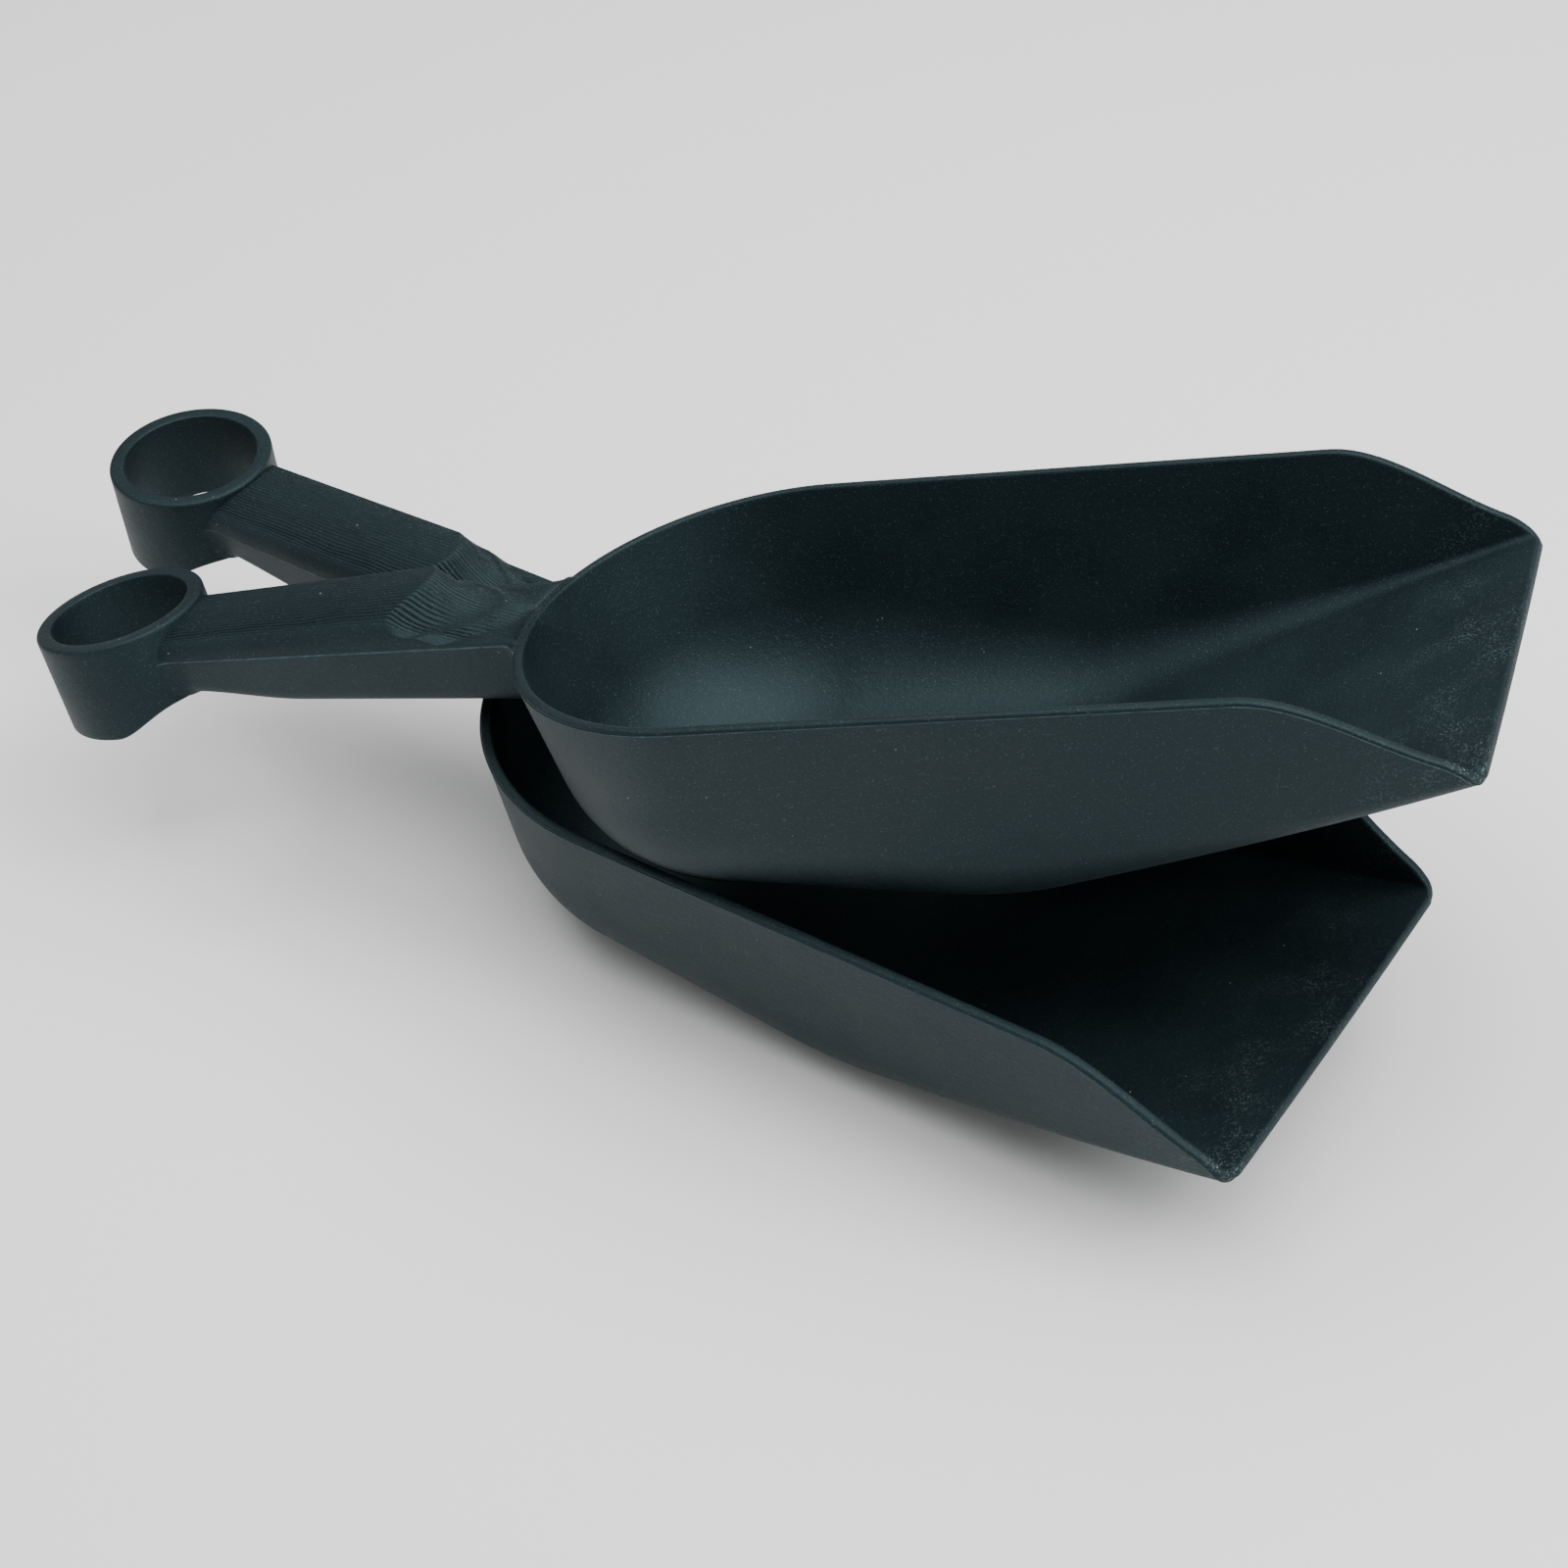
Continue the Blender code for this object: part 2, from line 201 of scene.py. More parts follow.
# The collar's moulding line, in millimetres: rise above the parting plane, stand-out, line mark
COLLAR_LINE_PROFILE = (
    (0.12, 0.00, 0.0),
    (0.00, 0.05, 0.68),
    (-0.12, 0.00, 0.0),
)


def smooth_step(value):
    """0 below 0, 1 above 1, and an S curve between."""
    value = min(max(value, 0.0), 1.0)
    return value * value * (3.0 - 2.0 * value)


def soft_min(first, second, blend):
    """The smaller of two lengths, with the crease between them rounded."""
    share = min(max(0.5 + 0.5 * (second - first) / blend, 0.0), 1.0)
    return second + (first - second) * share - blend * share * (1.0 - share)


def fillet(distance, radius):
    """How far a surface stands out at this distance from the wall that it runs into."""
    if distance >= radius:
        return 0.0
    inside = radius - max(distance, 0.0)
    return radius - math.sqrt(radius * radius - inside * inside)


# ---- bowl ----


def rim_half_width(x):
    return SIDE_HALF_WIDTH - SIDE_TAPER * (x - SIDE_TAPER_AT_X)


def floor_depth(x):
    """Depth of the outside floor below the rim: level at the back, then curving into a straight ramp."""
    bend_x = LIP_X - (BOWL_DEPTH - LIP_DEPTH) / FLOOR_SLOPE
    start = bend_x - FLOOR_BEND_LENGTH / 2
    along = max(x - start, 0.0)
    if along < FLOOR_BEND_LENGTH:
        return BOWL_DEPTH - FLOOR_SLOPE * along**2 / (2 * FLOOR_BEND_LENGTH)
    return LIP_DEPTH + FLOOR_SLOPE * (LIP_X - x)


def corner_radius(x):
    share = smooth_step((x - CORNER_TIGHTENS_AT_X) / (LIP_X - CORNER_TIGHTENS_AT_X))
    return BACK_CORNER_RADIUS + (LIP_CORNER_RADIUS - BACK_CORNER_RADIUS) * share


def rim_drop(x):
    return SHOULDER_DROP * smooth_step((x - SHOULDER_X) / (SHOULDER_END_X - SHOULDER_X))


class Section:
    """Half of a cross-section of the bowl: down a drafted wall, round the corner and in to the middle."""

    def __init__(self, half_width, depth, radius):
        self.half_width = half_width
        self.depth = depth
        lean = math.atan(WALL_DRAFT)
        self.turn = math.pi / 2 - lean
        self.wall = Vector((-math.sin(lean), -math.cos(lean)))
        corner = Vector((half_width - WALL_DRAFT * depth, -depth))
        self.radius = min(radius, CORNER_LIMIT * depth / math.tan(self.turn / 2))
        tangent = self.radius * math.tan(self.turn / 2)
        self.wall_length = depth / math.cos(lean) - tangent
        self.arc_length = self.radius * self.turn
        self.floor_length = corner.x - tangent
        self.length = self.wall_length + self.arc_length + self.floor_length

    def point(self, distance):
        """(across, height) at this distance from the rim plane."""
        start = Vector((self.half_width, 0.0))
        if distance <= self.wall_length:
            return start + self.wall * distance
        along = distance - self.wall_length
        if along <= self.arc_length:
            angle = along / self.radius
            inward = Vector((self.wall.y, -self.wall.x))
            centre = start + self.wall * self.wall_length + inward * self.radius
            return centre + self.radius * (self.wall * math.sin(angle) - inward * math.cos(angle))
        return Vector((self.floor_length - (along - self.arc_length), -self.depth))

    def distance_at(self, drop):
        """Distance along the section at which it has fallen this far."""
        low = 0.0
        high = self.wall_length + self.arc_length
        for _ in range(HALVINGS):
            middle = (low + high) / 2
            if -self.point(middle).y < drop:
                low = middle
            else:
                high = middle
        return low

    def rows(self, start):
        """Distances from start to the middle: steps down the wall, round the corner and over the floor."""
        arc_start = max(start, self.wall_length)
        arc_end = max(start, self.wall_length + self.arc_length)
        marks = [start, arc_start, arc_end, self.length]
        distances = [start]
        for low, high, steps in zip(marks, marks[1:], (WALL_ROWS, CORNER_ROWS, FLOOR_ROWS)):
            distances += [low + (high - low) * (step + 1) / steps for step in range(steps)]
        return distances


def back_column(angle):
    """Points down the rounded back, on a half plane at this angle from the straight back."""
    centre_x = RIM_BACK_X + BACK_LENGTH
    half_width = rim_half_width(centre_x)
    section = Section(half_width, floor_depth(centre_x), corner_radius(centre_x))
    stretch = BACK_LENGTH / half_width
    column = []
    for distance in section.rows(RIM_INSET):
        across, height = section.point(distance)
        x = centre_x - stretch * across * math.cos(angle)
        column.append((x, -across * math.sin(angle), height))
    return column


def side_column(x):
    """Points down one side of the bowl at this station, from the rim's edge to the middle of the floor."""
    section = Section(rim_half_width(x), floor_depth(x), corner_radius(x))
    last_x = LIP_X - RIM_INSET
    corner = LIP_CORNER - RIM_INSET
    into_corner = min(max(0.0, x - (last_x - corner)), corner)
    start = section.distance_at(rim_drop(x)) + RIM_INSET
    start += corner - math.sqrt(corner**2 - into_corner**2)
    bow_share = smooth_step((x - SHOULDER_X) / (LIP_X - SHOULDER_X))
    column = []
    for distance in section.rows(start):
        across, height = section.point(distance)
        ahead = LIP_BOW * bow_share * (1.0 - (across / section.half_width) ** 2)
        column.append((x + ahead, -across, height + FLOOR_SLOPE * ahead))
    return column


def bowl_columns():
    columns = [back_column(math.pi / 2 * step / BACK_COLUMNS) for step in range(BACK_COLUMNS)]
    first = RIM_BACK_X + BACK_LENGTH
    for step in range(SIDE_COLUMNS + 1):
        share = step / SIDE_COLUMNS
        bunched = 1.0 - (1.0 - share) ** SIDE_BUNCHING
        columns.append(side_column(first + (LIP_X - RIM_INSET - first) * bunched))
    return columns


def add_grid_faces(shape, grid, flipped):
    """Quads between neighbouring rows of points."""
    for left, right in zip(grid, grid[1:]):
        for row in range(len(left) - 1):
            corners = [left[row], left[row + 1], right[row + 1], right[row]]
            if flipped:
                corners.reverse()
            shape.faces.new(corners)


def outside_of_bowl():
    """The bowl's outside as an open surface, stopping short of the rim's edge all round."""
    shape = bmesh.new()
    columns = bowl_columns()
    for side in (1.0, -1.0):
        grid = [[shape.verts.new((x, side * y, z)) for x, y, z in column] for column in columns]
        add_grid_faces(shape, grid, side < 0)
    bmesh.ops.remove_doubles(shape, verts=shape.verts, dist=WELD)
    bmesh.ops.dissolve_degenerate(shape, edges=shape.edges, dist=WELD)
    shape.normal_update()
    return shape


def boundary_loop(shape):
    """The open surface's boundary as one ring of points, in order."""
    edges = [edge for edge in shape.edges if edge.is_boundary]
    neighbours = {}
    for edge in edges:
        for vertex in edge.verts:
            neighbours.setdefault(vertex, []).append(edge.other_vert(vertex))
    first = edges[0].verts[0]
    loop = [first, neighbours[first][0]]
    while True:
        step = [vertex for vertex in neighbours[loop[-1]] if vertex is not loop[-2]][0]
        if step is first:
            return loop
        loop.append(step)


def face_centre_near(vertex):
    total = Vector()
    for face in vertex.link_faces:
        total += face.calc_center_median()
    return total / len(vertex.link_faces)


def add_rim(shape, loop, inner, mark):
    """The rim's rounded edge with its step and moulding line, between the two skins."""
    rings = []
    for index, vertex in enumerate(loop):
        along = loop[(index + 1) % len(loop)].co - loop[index - 1].co
        outward = along.cross(vertex.normal).normalized()
        if outward.dot(vertex.co - face_centre_near(vertex)) < 0:
            outward.negate()
        ring = []
        for across, beyond, line in RIM_PROFILE:
            place = vertex.co - vertex.normal * across * MM + outward * beyond * MM
            point = shape.verts.new(place)
            point[mark] = line
            ring.append(point)
        rings.append([vertex] + ring + [inner[vertex]])
    for ring, following in zip(rings, rings[1:] + rings[:1]):
        for row in range(len(ring) - 1):
            shape.faces.new((ring[row], following[row], following[row + 1], ring[row + 1]))


def bowl_mesh():
    """The bowl as a closed shell: outside, inside and rim."""
    shape = outside_of_bowl()
    mark = shape.verts.layers.float.new("line")
    loop = boundary_loop(shape)
    skin = list(shape.faces)
    inner = {}
    for vertex in list(shape.verts):
        inner[vertex] = shape.verts.new(vertex.co - vertex.normal * WALL)
    for face in skin:
        shape.faces.new([inner[vertex] for vertex in reversed(face.verts)])
    add_rim(shape, loop, inner, mark)
    return finished(shape, "bowl")


def finished(shape, name):
    """The bmesh as a mesh, with its faces turned outward."""
    bmesh.ops.recalc_face_normals(shape, faces=shape.faces)
    mesh = bpy.data.meshes.new(name)
    shape.to_mesh(mesh)
    shape.free()
    return mesh


# ---- handle ----


def handle_half_width(x):
    return HANDLE_HALF_WIDTH + HANDLE_FLARE * (x - COLLAR_RADIUS)


def handle_crest(x):
    """Height of the grip's crown, which climbs from just below the collar's top to the thumb rest."""
    return HANDLE_CREST + HANDLE_CREST_SLOPE * (x - COLLAR_RADIUS)


def keel_depth(x):
    """Depth of the underside below the rim's plane; it rises to meet the collar's lower edge."""
    falling = HANDLE_KEEL + HANDLE_KEEL_SLOPE * (x - COLLAR_RADIUS)
    return falling - KEEL_RISE * (1.0 - smooth_step((x - COLLAR_RADIUS) / KEEL_RISE_LENGTH))


def thumb_rest(x, y):
    """Height of the hollow for the thumb, which cuts the grip's crown off short of the bowl."""
    along = x + THUMB_BOW * y * y
    hollow_end = THUMB_START_X + THUMB_LENGTH
    if along < hollow_end:
        steepness = (handle_crest(THUMB_START_X) - THUMB_REST_HEIGHT) / THUMB_LENGTH**2
        return THUMB_REST_HEIGHT + steepness * (hollow_end - along) ** 2
    share = smooth_step((along - hollow_end) / (RIM_BACK_X - hollow_end))
    return THUMB_REST_HEIGHT + (RIM_TOP - THUMB_REST_HEIGHT) * share


def collar_surface(y, radius):
    return math.sqrt(max(radius * radius - y * y, 0.0))


def back_surface(y, z):
    """X of the outside of the bowl's back wall."""
    centre_x = RIM_BACK_X + BACK_LENGTH
    half_width = rim_half_width(centre_x)
    across = half_width - WALL_DRAFT * max(-z, 0.0)
    stretch = BACK_LENGTH / half_width
    return centre_x - stretch * math.sqrt(across * across - y * y)


def place_along(share, y, z):
    """X at this share of the way from inside the collar's wall to inside the bowl's back wall."""
    start = collar_surface(y, (COLLAR_RADIUS + BORE_RADIUS) / 2)
    above = smooth_step((z - REACH_START_Z) / REACH_BLEND)
    depth = WALL / 2 + (WALL / 2 - REACH_SHORT) * above
    return start + share * (back_surface(y, z) + depth - start)


def widening(x, y, z):
    """How far the handle's side stands out where it runs into the bowl or the collar."""
    to_bowl = back_surface(y, z) - x
    to_collar = x - collar_surface(y, COLLAR_RADIUS)
    return fillet(to_bowl, BOWL_FILLET) + fillet(to_collar, COLLAR_FILLET)


def grip_point(share, angle):
    """A point of the grip's rounded upper side; angle runs from the near edge over the crown."""
    nominal_x = place_along(share, 0.0, 0.0)
    sine = max(math.sin(angle), 0.0)
    y = -handle_half_width(nominal_x) * math.cos(angle)
    x = place_along(share, y, 0.0)
    crown = handle_crest(nominal_x) * sine**CROWN_ROUNDNESS
    height = soft_min(crown, thumb_rest(x, y), THUMB_EDGE_BLEND)
    height = PARTING_Z + max(height, 0.0) * (1.0 - PARTING_Z / handle_crest(nominal_x))
    skirt = 1.0 - smooth_step((height - PARTING_Z) / SKIRT)
    stand = widening(x, y, height) * skirt
    y -= math.copysign(stand, math.cos(angle))
    return Vector((place_along(share, y, height), y, height))


def keel_outline(x, wide):
    """(across, height) of the lower side at this station: drafted wall, rounded corner, flat underside."""
    edge = Vector((handle_half_width(x) + wide, PARTING_Z))
    corner = Vector((KEEL_HALF_WIDTH + wide, -keel_depth(x)))
    wall = (corner - edge).normalized()
    arc_start = corner - wall * KEEL_ROUNDING
    arc_end = corner - Vector((KEEL_ROUNDING, 0.0))
    points = [edge.lerp(arc_start, i / KEEL_POINTS) for i in range(KEEL_POINTS)]
    for i in range(KEEL_POINTS):
        share = i / (KEEL_POINTS - 1)
        points.append(arc_start.lerp(corner, share).lerp(corner.lerp(arc_end, share), share))
    return points


def grain(along, across):
    """Depth share of the grip's grooves: fine wavy lines that run lengthwise."""
    sway = noise.noise(Vector((along * 42.0, across * 110.0, 1.7)))
    drift = noise.noise(Vector((along * 150.0, across * 330.0, 5.1)))
    lines = math.sin(2.0 * math.pi * (across / GROOVE_PITCH + 0.7 * sway + 0.25 * drift))
    broken = noise.noise(Vector((along * 90.0, across * 500.0, 9.3)))
    return min(max(0.45 - 0.65 * lines + 0.3 * broken, 0.0), 1.0)


def carve_grip(rows, groove):
    """Sinks the grain into the upper surface along its normals, fading out above the moulding line."""
    for row in rows:
        along = row[len(row) // 2].co.x
        for index, point in enumerate(row):
            angle = math.pi * index / GRIP_POINTS
            fade = smooth_step((GROOVE_LAST - abs(math.cos(angle))) / GROOVE_FADE)
            point[groove] = grain(along, GRIP_ARC * angle) * fade
            point.co -= point.normal * GROOVE_DEPTH * point[groove]


def handle_shares():
    """Stations along the handle, closer together where it runs into the bowl."""
    shares = [HANDLE_END_SHARE * step / HANDLE_STATIONS for step in range(HANDLE_STATIONS)]
    tail = 1.0 - HANDLE_END_SHARE
    for step in range(HANDLE_END_STATIONS + 1):
        shares.append(HANDLE_END_SHARE + tail * step / HANDLE_END_STATIONS)
    return shares


def handle_mesh():
    """The handle as a closed loft from inside the collar's wall to inside the bowl's back wall."""
    shape = bmesh.new()
    mark = shape.verts.layers.float.new("line")
    groove = shape.verts.layers.float.new("groove")
    tops = []
    bottoms = []
    for share in handle_shares():
        nominal_x = place_along(share, 0.0, 0.0)
        upper = [grip_point(share, math.pi * i / GRIP_POINTS) for i in range(GRIP_POINTS + 1)]
        wide = widening(place_along(share, HANDLE_HALF_WIDTH, PARTING_Z), HANDLE_HALF_WIDTH, PARTING_Z)
        side = keel_outline(nominal_x, wide)[1:]
        lower = [(-across, height) for across, height in side]
        lower += [(across, height) for across, height in reversed(side)]
        top = [shape.verts.new(point) for point in upper]
        bottom = [shape.verts.new((place_along(share, y, z), y, z)) for y, z in lower]
        tops.append(top)
        bottoms.append([top[0]] + bottom + [top[-1]])
        for edge in (top[0], top[-1]):
            edge[mark] = 1.0
    add_grid_faces(shape, tops, False)
    add_grid_faces(shape, bottoms, True)
    for top, bottom in ((tops[0], bottoms[0]), (tops[-1], bottoms[-1])):
        shape.faces.new(top + bottom[-2:0:-1])
    bmesh.ops.recalc_face_normals(shape, faces=shape.faces)
    shape.normal_update()
    carve_grip(tops, groove)
    return finished(shape, "handle")


# ---- collar ----


def collar_cut_height(x):
    """The collar's lower edge seen from the side: level round the outer end, then swept up to the handle."""
    share = smooth_step((x - COLLAR_CUT_START_X) / (COLLAR_CUT_END_X - COLLAR_CUT_START_X))
    return COLLAR_BOTTOM + (COLLAR_CUT_END_Z - COLLAR_BOTTOM) * share


def quarter(centre, radius, start, steps):
    """Points of a quarter circle in the plane of radius and height, turning clockwise from start degrees."""
    points = []
    for step in range(steps + 1):
        angle = math.radians(start - 90.0 * step / steps)
        points.append((centre[0] + radius * math.cos(angle), centre[1] + radius * math.sin(angle)))
    return points


def collar_outside(outer, lower):
    """(radius, height, line mark) down the outside of the collar, with its moulding line."""
    upper = COLLAR_TOP - COLLAR_EDGE
    rows = COLLAR_UPPER_ROWS
    points = [(r, z, 0.0) for r, z in quarter((outer - COLLAR_EDGE, upper), COLLAR_EDGE, 90, rows)]
    line_top = PARTING_Z + COLLAR_LINE_MARGIN
    for step in range(1, rows + 1):
        points.append((outer, upper + (line_top - upper) * step / rows, 0.0))
    for rise, stand, line in COLLAR_LINE_PROFILE:
        points.append((outer + stand * MM, PARTING_Z + rise * MM, line))
    start = PARTING_Z - COLLAR_LINE_MARGIN
    end = lower + COLLAR_LOWER_EDGE
    for step in range(COLLAR_WALL_ROWS):
        points.append((outer, start + (end - start) * step / COLLAR_WALL_ROWS, 0.0))
    return points


def collar_inside(inner, lower):
    """(radius, height, line mark) up the collar's bore."""
    start = lower + COLLAR_LOWER_EDGE
    top = COLLAR_TOP - BORE_EDGE
    rows = 2 * COLLAR_WALL_ROWS
    points = [(inner, start + (top - start) * step / rows, 0.0) for step in range(1, rows)]
    bore_edge = quarter((inner + BORE_EDGE, top), BORE_EDGE, 180, ROUND_STEPS)
    return points + [(r, z, 0.0) for r, z in bore_edge]


def collar_ring(angle):
    """(radius, height, line mark) round the collar's wall at this angle."""
    outer = COLLAR_RADIUS - COLLAR_TRIM
    inner = BORE_RADIUS
    outer_low = collar_cut_height(outer * math.cos(angle))
    inner_low = collar_cut_height(inner * math.cos(angle))
    edge = COLLAR_LOWER_EDGE
    lower_edge = quarter((outer - edge, outer_low + edge), edge, 0, ROUND_STEPS)
    lower_edge += quarter((inner + edge, inner_low + edge), edge, -90, ROUND_STEPS)
    underside = [(r, z, 0.0) for r, z in lower_edge]
    return collar_outside(outer, outer_low) + underside + collar_inside(inner, inner_low)


def collar_mesh():
    """The open collar as a closed ring."""
    shape = bmesh.new()
    mark = shape.verts.layers.float.new("line")
    rings = []
    for step in range(COLLAR_STEPS):
        angle = 2.0 * math.pi * step / COLLAR_STEPS
        ring = []
        for radius, height, line in collar_ring(angle):
            point = shape.verts.new((radius * math.cos(angle), radius * math.sin(angle), height))
            point[mark] = line
            ring.append(point)
        rings.append(ring + ring[:1])
    add_grid_faces(shape, rings + rings[:1], False)
    return finished(shape, "collar")


# ---- one scoop ----


def mesh_object(name, mesh):
    obj = bpy.data.objects.new(name, mesh)
    bpy.context.scene.collection.objects.link(obj)
    return obj


def joined(meshes):
    """One closed mesh from the overlapping pieces of the moulding."""
    objects = [mesh_object(mesh.name, mesh) for mesh in meshes]
    for other in objects[1:]:
        modifier = objects[0].modifiers.new(other.name, "BOOLEAN")
        modifier.operation = "UNION"
        modifier.solver = "MANIFOLD"
        modifier.object = other
    bpy.context.view_layer.update()
    graph = bpy.context.evaluated_depsgraph_get()
    mesh = bpy.data.meshes.new_from_object(objects[0].evaluated_get(graph))
    for obj in objects:
        bpy.data.objects.remove(obj, do_unlink=True)
    return mesh


def shade(mesh):
    """Smooth faces, with a hard edge wherever two meet at a steep angle."""
    shape = bmesh.new()
    shape.from_mesh(mesh)
    for face in shape.faces:
        face.smooth = True
    for edge in shape.edges:
        edge.smooth = edge.calc_face_angle(0.0) < math.radians(HARD_EDGE_DEGREES)
    shape.to_mesh(mesh)
    shape.free()
    return mesh


def scoop_mesh():
    return shade(joined([bowl_mesh(), handle_mesh(), collar_mesh()]))


# ---- material ----


def node(tree, kind, inputs=(), **settings):
    made = tree.nodes.new(kind)
    for name, value in settings.items():
        setattr(made, name, value)
    for key, value in dict(inputs).items():
        if isinstance(value, bpy.types.NodeSocket):
            tree.links.new(value, made.inputs[key])
        else:
            made.inputs[key].default_value = value
    return made


def noise_value(tree, coordinates, scale, detail, roughness=0.5):
    inputs = {"Vector": coordinates, "Scale": scale, "Detail": detail, "Roughness": roughness}
    return node(tree, "ShaderNodeTexNoise", inputs).outputs["Fac"]


def remapped(tree, value, low, high, to_low, to_high):
    inputs = {"Value": value, "From Min": low, "From Max": high, "To Min": to_low, "To Max": to_high}
    return node(tree, "ShaderNodeMapRange", inputs).outputs["Result"]


def product(tree, first, second):
    made = node(tree, "ShaderNodeMath", {0: first, 1: second}, operation="MULTIPLY")
    return made.outputs["Value"]


def mixed(tree, factor, first, second):
    made = node(tree, "ShaderNodeMix", data_type="RGBA")
    for socket, value in ((0, factor), (6, first), (7, second)):
        if isinstance(value, bpy.types.NodeSocket):
            tree.links.new(value, made.inputs[socket])
        else:
            made.inputs[socket].default_value = value
    return made.outputs[2]


def moulded_color(tree, place, mottle):
    """The plastic's colour: mottled, with painted shade darkening the grooves, and paler on the moulding
    lines.
    """
    shade_share = remapped(tree, mottle, 0.35, 0.65, 0.0, 1.0)
    color = mixed(tree, shade_share, PLASTIC_DARK, PLASTIC_LIGHT)
    groove = node(tree, "ShaderNodeAttribute", attribute_name="groove").outputs["Fac"]
    # Painted shade in the grooves, darkest where they are deepest
    color = mixed(tree, product(tree, groove, 0.9), color, GROOVE_SHADE_COLOR)
    line = node(tree, "ShaderNodeAttribute", attribute_name="line").outputs["Fac"]
    line = remapped(tree, line, 0.55, 1.0, 0.0, 1.0)
    chatter = remapped(tree, noise_value(tree, place, 420.0, 2.0), 0.35, 0.65, 0.35, 1.0)
    return mixed(tree, product(tree, line, chatter), color, LINE_COLOR)


def with_scuffs(tree, place, color):
    """Pale patchy wear on the last stretch before the lip."""
    along = node(tree, "ShaderNodeSeparateXYZ", {0: place}).outputs["X"]
    near_lip = remapped(tree, along, SCUFF_START_X, SCUFF_FULL_X, 0.0, 1.0)
    patches = remapped(tree, noise_value(tree, place, 60.0, 4.0), 0.48, 0.68, 0.0, 1.0)
    flecks = remapped(tree, noise_value(tree, place, 1500.0, 2.0), 0.53, 0.66, 0.0, 1.0)
    scuffs = product(tree, product(tree, near_lip, patches), flecks)
    return mixed(tree, product(tree, scuffs, 0.35), color, SCUFF_COLOR)


def with_specks(tree, place, color):
    """Painted glints all over, fine pale specks that stand in for light caught by the stipple; and a few
    larger specks of dust.
    """
    # Painted glints: fine pale specks standing in for light off the stipple
    glints = remapped(tree, noise_value(tree, place, 2000.0, 1.0), 0.63, 0.74, 0.0, 1.0)
    color = mixed(tree, product(tree, glints, 0.26), color, GLINT_COLOR)
    cells = node(tree, "ShaderNodeTexVoronoi", {"Vector": place, "Scale": 150.0}).outputs["Distance"]
    dust = remapped(tree, cells, 0.040, 0.022, 0.0, 1.0)
    sparse = remapped(tree, noise_value(tree, place, 47.0, 1.0), 0.54, 0.58, 0.0, 1.0)
    return mixed(tree, product(tree, product(tree, dust, sparse), 0.7), color, DUST_COLOR)


def stippled_normal(tree, place):
    """The moulding's fine stipple, as bump."""
    stipple = noise_value(tree, place, 1900.0, 2.0, 0.6)
    coarse = noise_value(tree, place, 620.0, 2.0)
    height = node(tree, "ShaderNodeMath", {0: stipple, 1: coarse}, operation="ADD").outputs["Value"]
    bump = node(tree, "ShaderNodeBump", {"Strength": 0.9, "Distance": 0.00009, "Height": height})
    return bump.outputs["Normal"]


def plastic(name):
    """Dark blue-green moulded plastic: stipple, mottling, painted shade in the grooves, moulding lines,
    scuffs by the lip, dust and painted glints.
    """
    material = bpy.data.materials.new(name)
    material.use_nodes = True
    tree = material.node_tree
    shader = tree.nodes["Principled BSDF"]
    place = node(tree, "ShaderNodeAttribute", attribute_name="place").outputs["Vector"]
    mottle = noise_value(tree, place, 34.0, 3.0)
    color = moulded_color(tree, place, mottle)
    color = with_scuffs(tree, place, color)
    color = with_specks(tree, place, color)
    tree.links.new(color, shader.inputs["Base Color"])
    shader.inputs["Specular IOR Level"].default_value = 0.30
    shader.inputs["Specular Tint"].default_value = SHEEN_TINT
    worn = remapped(tree, mottle, 0.3, 0.7, 0.52, 0.62)
    tree.links.new(worn, shader.inputs["Roughness"])
    tree.links.new(stippled_normal(tree, place), shader.inputs["Normal"])
    return material


# ---- the pair ----


def placed_copy(mesh, matrix):
    """The mesh moved into place; "place" keeps each point's position in the scoop's own frame."""
    placed = mesh.copy()
    places = [0.0] * (3 * len(placed.vertices))
    placed.vertices.foreach_get("co", places)
    attribute = placed.attributes.new("place", "FLOAT_VECTOR", "POINT")
    attribute.data.foreach_set("vector", places)
    placed.transform(matrix)
    placed.update()
    return placed


def add_scoop(name, mesh, matrix, body, cad_node):
    scoop = mesh_object(name, placed_copy(mesh, matrix))
    scoop.data.name = name
    scoop.data.materials.clear()
    scoop.data.materials.append(plastic(name + "_plastic"))
    bpy.context.view_layer.update()
    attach(scoop, body)
    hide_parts(cad_node)
    return scoop


def add_pair():
    """Both scoops, placed by the CAD box of the lower one."""
    mesh = scoop_mesh()
    low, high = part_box("lower_scoop")
    lower = Vector((low[0] + COLLAR_RADIUS, (low[1] + high[1]) / 2, low[2] + BOWL_DEPTH))
    upper = lower + Vector(UPPER_OFFSET)
    turn = Euler([math.radians(angle) for angle in UPPER_ROTATION]).to_matrix().to_4x4()
    add_scoop("scoop_below", mesh, Matrix.Translation(lower), "lower", "lower_scoop")
    add_scoop("scoop_above", mesh, Matrix.Translation(upper) @ turn, "upper", "upper_scoop")


# ---- surroundings ----


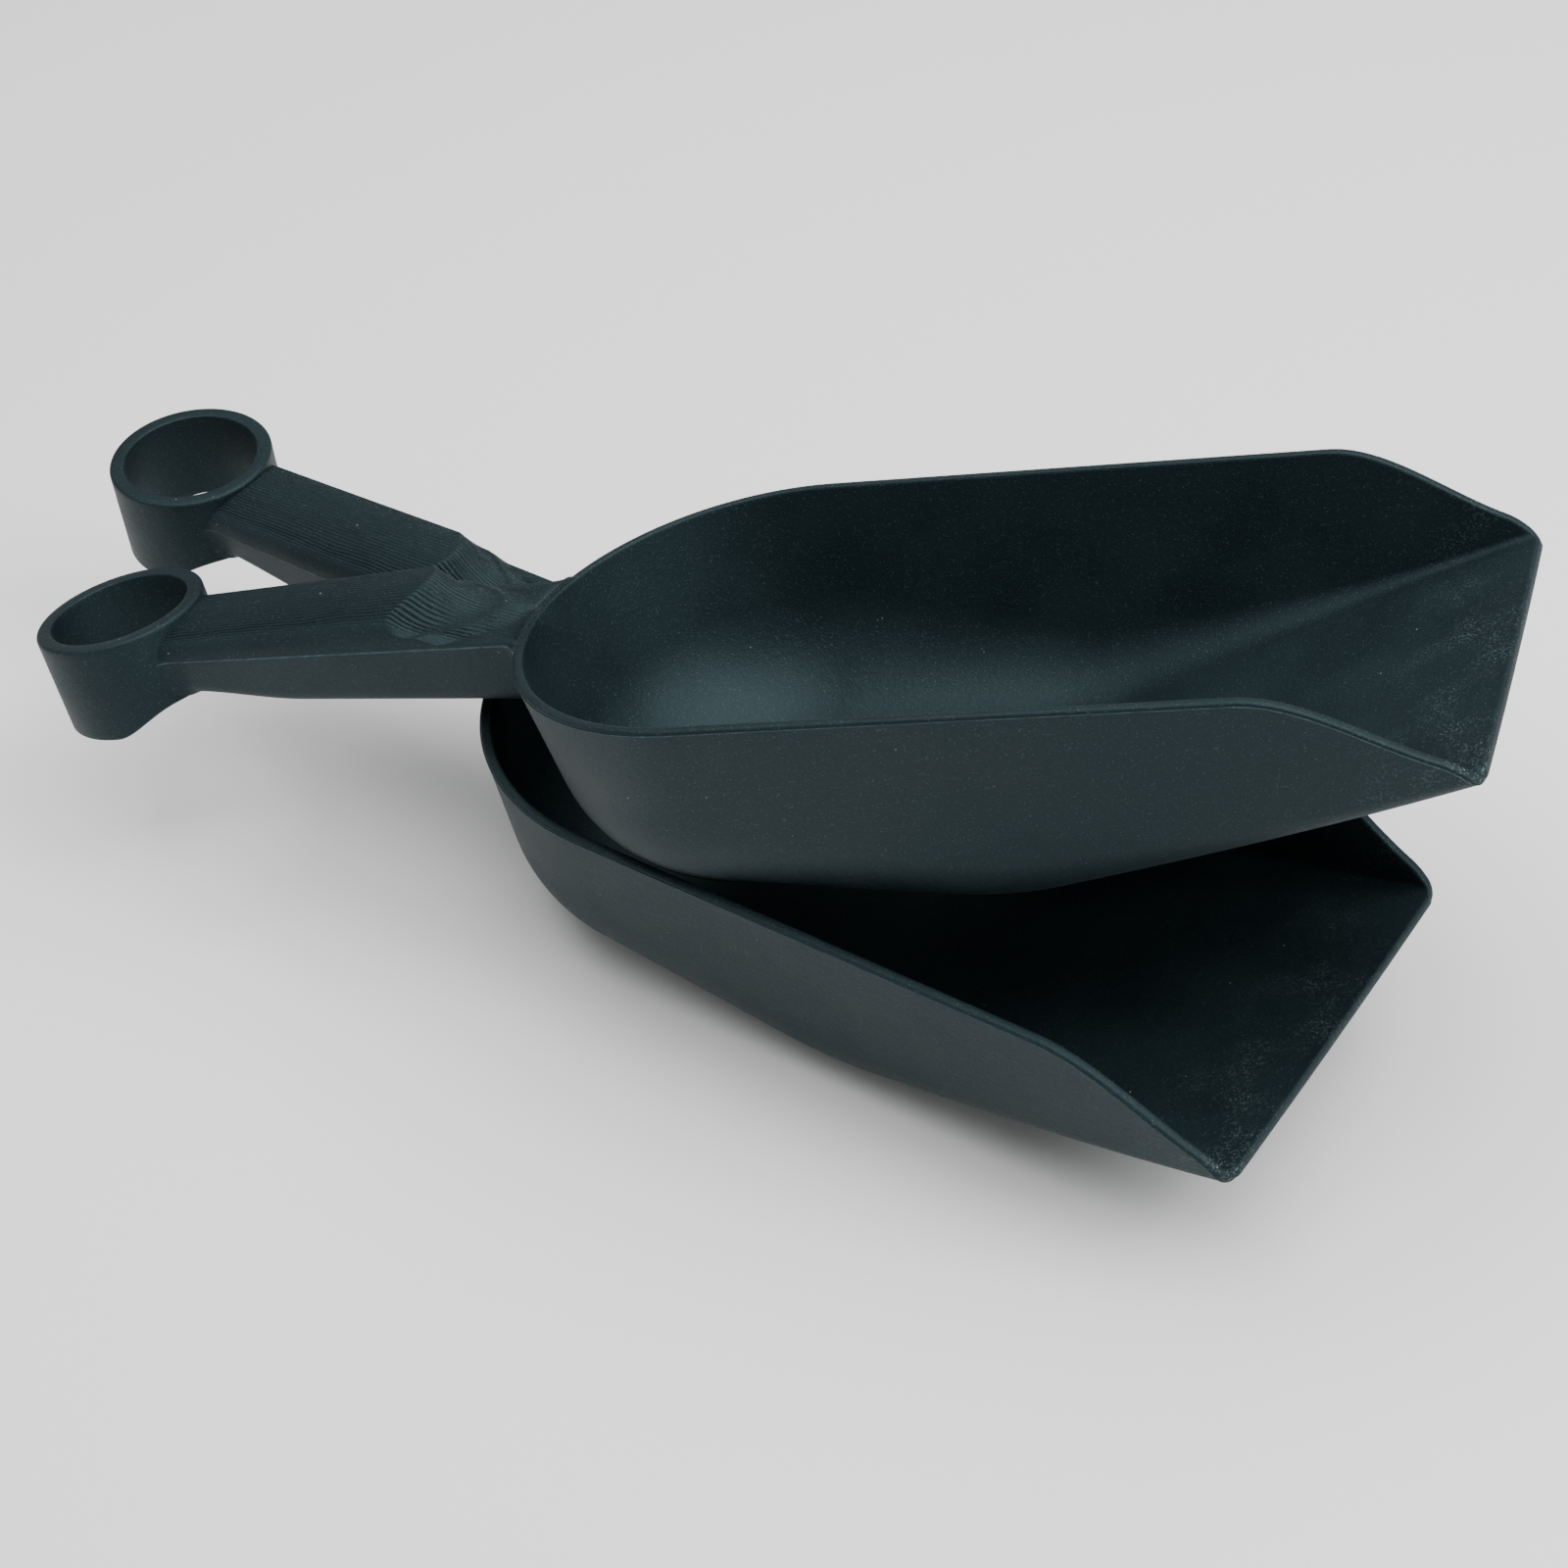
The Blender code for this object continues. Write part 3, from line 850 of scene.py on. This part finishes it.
def add_floor():
    shape = bmesh.new()
    bmesh.ops.create_grid(shape, x_segments=1, y_segments=1, size=FLOOR_HALF_SIZE)
    mesh = bpy.data.meshes.new("floor")
    shape.to_mesh(mesh)
    shape.free()
    floor = mesh_object("floor", mesh)
    material = bpy.data.materials.new("floor_paper")
    material.use_nodes = True
    shader = material.node_tree.nodes["Principled BSDF"]
    shader.inputs["Base Color"].default_value = FLOOR_COLOR
    shader.inputs["Roughness"].default_value = 0.9
    mesh.materials.append(material)


def add_area_light(name, place, aim, size, power):
    data = bpy.data.lights.new(name, "AREA")
    data.shape = "RECTANGLE"
    data.size = size[0]
    data.size_y = size[1]
    data.energy = power
    light = bpy.data.objects.new(name, data)
    bpy.context.scene.collection.objects.link(light)
    light.location = place
    direction = Vector(aim) - Vector(place)
    light.rotation_euler = direction.to_track_quat("-Z", "Y").to_euler()


def add_lighting():
    world = bpy.data.worlds.new("studio")
    bpy.context.scene.world = world
    world.use_nodes = True
    background = world.node_tree.nodes["Background"]
    background.inputs["Color"].default_value = (1.0, 1.0, 1.0, 1)
    background.inputs["Strength"].default_value = WORLD_STRENGTH
    add_area_light("overhead", (0.1, 0.1, 1.4), (0.0, 0.0, 0.05), (1.7, 1.7), 43.0)
    add_area_light("front_left", (-1.2, -0.9, 0.4), (0.0, 0.0, 0.05), (0.9, 0.9), 2.5)
    add_area_light("right", (1.25, 0.35, 1.15), (0.0, 0.0, 0.08), (0.9, 0.9), 18.0)


def add_camera():
    """The viewing position, looking down at the pair from beside its lips."""
    data = bpy.data.cameras.new("camera")
    data.lens = CAMERA_LENS
    data.sensor_width = SENSOR_WIDTH
    camera = bpy.data.objects.new("camera", data)
    bpy.context.scene.collection.objects.link(camera)
    right = Vector(CAMERA_RIGHT).normalized()
    back = Vector(CAMERA_BACK).normalized()
    up = back.cross(right).normalized()
    turn = Matrix((right, up, back)).transposed()
    camera.matrix_world = Matrix.Translation(CAMERA_PLACE) @ turn.to_4x4()
    bpy.context.scene.camera = camera


def main():
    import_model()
    add_pair()
    add_floor()
    add_lighting()
    add_camera()


main()
